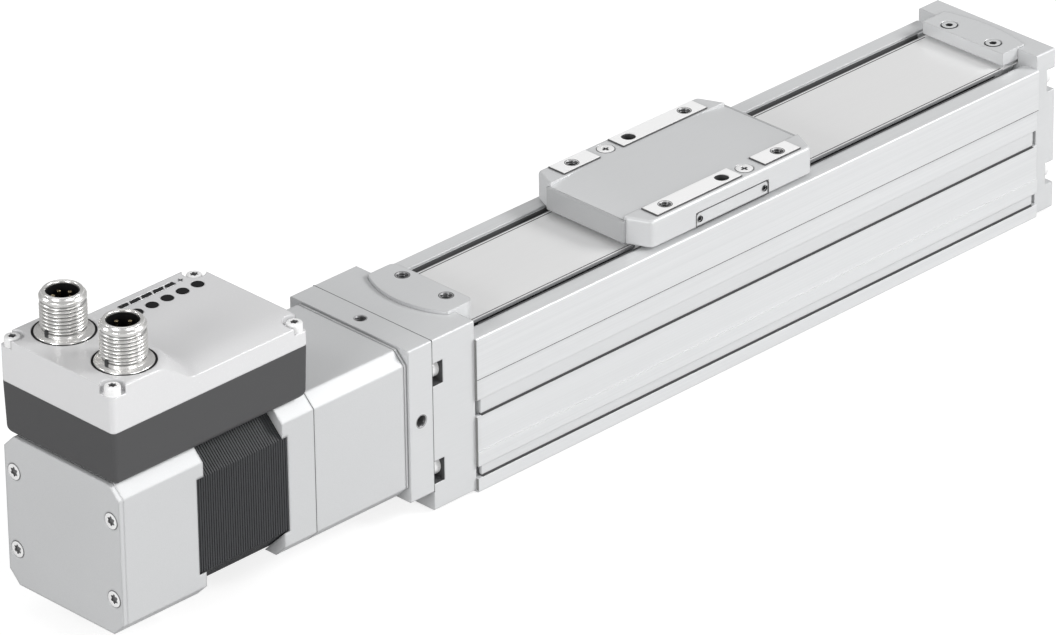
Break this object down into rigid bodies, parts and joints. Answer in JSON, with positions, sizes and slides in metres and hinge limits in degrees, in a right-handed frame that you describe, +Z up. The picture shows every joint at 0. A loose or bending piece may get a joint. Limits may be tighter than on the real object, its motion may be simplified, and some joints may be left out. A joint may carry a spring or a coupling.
{
  "type": "ball screw linear axis",
  "caption": "Electric ball screw slide: extruded profile with cover band and carriage, coupling housing, stepper motor and electronics box with round connectors.",
  "frame": {"origin": "middle of the profile's underside, half way along the profile", "axes": "+X along the axis from the motor to the far end cap, +Y across it, +Z up through the slide's mounting face"},
  "size_m": [0.3402, 0.045, 0.0879],
  "materials": {
    "anodised": "satin, clear anodised extrusion and milled parts",
    "blasted": "fine sandblasted casting",
    "machined": "bright machined faces",
    "slot_cover": "smooth light grey plastic",
    "band": "thin rolled stainless band with a fine lengthwise grain",
    "steel": "ground steel",
    "bearing": "polished bearing steel",
    "screw": "plain stainless screws",
    "hub": "turned",
    "star": "firm elastomer, colour guessed",
    "rubber": "matt rubber",
    "stack": "blackened sheet laminations",
    "dark_housing": "fine grained dark grey",
    "lid": "smooth silver grey paint",
    "light_guide": "smoked light guide",
    "nickel": "nickel plated, satin",
    "brass": "plated contacts",
    "black_plastic": "matt",
    "wiper": "smooth light grey end pieces",
    "board": "circuit board laminate",
    "magnet": "plated magnet"
  },
  "bodies": {
    "frame": {"profile": "anodised", "slot_covers": "slot_cover", "cover_band": "band", "guide_rail": "steel", "rail_screws": "screw", "bearing_cap": "anodised", "cap_screws": "screw", "motor_end_clamp": "anodised", "far_cap": "anodised", "far_end_clamp": "anodised", "far_clamp_screws": "screw", "bearing_outer_rings": "bearing", "fixed_bearing_balls": "bearing", "end_buffers": "rubber", "adapter_plate": "anodised", "adapter_screws": "screw", "coupling_housing": "blasted", "motor_flange": "blasted", "motor_stack": "stack", "motor_rear_housing": "blasted", "motor_end_plate": "blasted", "end_plate_screws": "screw", "motor_bearings": "bearing", "electronics_base": "dark_housing", "electronics_lid": "lid", "lid_screws": "screw", "circuit_boards": "board", "light_bar": "light_guide", "connector_shells": "nickel", "contact_carriers": "black_plastic", "connector_contacts": "brass", "connector_seals": "rubber"},
    "slide": {"slide_plate": "anodised", "inner_carriage": "anodised", "runner_block": "steel", "runner_end_caps": "black_plastic", "ball_nut": "steel", "nut_screws": "screw", "sensor_magnets": "magnet", "locating_strips": "machined", "slide_screws": "screw", "wipers": "wiper", "side_cover": "slot_cover", "side_cover_screws": "screw"},
    "spindle": {"spindle": "steel", "lock_nut": "screw", "bearing_inner_rings": "bearing", "screw_hub": "hub", "coupling_star": "star", "motor_hub": "hub", "motor_shaft": "steel", "rotor": "stack", "encoder_magnet": "magnet"},
    "button_1_body": {"button_1": "black_plastic"},
    "button_2_body": {"button_2": "black_plastic"},
    "button_3_body": {"button_3": "black_plastic"},
    "button_4_body": {"button_4": "black_plastic"},
    "button_5_body": {"button_5": "black_plastic"},
    "button_6_body": {"button_6": "black_plastic"}
  },
  "joints": [
    {"name": "slide_travel", "type": "slide", "parent": "frame", "child": "slide", "axis": [1, 0, 0], "range_m": [-0.0383, 0.0617]},
    {"name": "spindle_turn", "type": "hinge", "parent": "frame", "child": "spindle", "pos_m": [0, 0, 0.028], "axis": [1, 0, 0], "range_deg": [-2250, 1400]},
    {"name": "button_1_press", "type": "slide", "parent": "frame", "child": "button_1_body", "axis": [0, 0, -1], "range_m": [0, 0.0004], "stiffness_N_per_m": 200},
    {"name": "button_2_press", "type": "slide", "parent": "frame", "child": "button_2_body", "axis": [0, 0, -1], "range_m": [0, 0.0004], "stiffness_N_per_m": 200},
    {"name": "button_3_press", "type": "slide", "parent": "frame", "child": "button_3_body", "axis": [0, 0, -1], "range_m": [0, 0.0004], "stiffness_N_per_m": 200},
    {"name": "button_4_press", "type": "slide", "parent": "frame", "child": "button_4_body", "axis": [0, 0, -1], "range_m": [0, 0.0004], "stiffness_N_per_m": 200},
    {"name": "button_5_press", "type": "slide", "parent": "frame", "child": "button_5_body", "axis": [0, 0, -1], "range_m": [0, 0.0004], "stiffness_N_per_m": 200},
    {"name": "button_6_press", "type": "slide", "parent": "frame", "child": "button_6_body", "axis": [0, 0, -1], "range_m": [0, 0.0004], "stiffness_N_per_m": 200}
  ],
  "couplings": [
    {"joint": "spindle_turn", "follows": "slide_travel", "rad_per_m": -628.32}
  ]
}
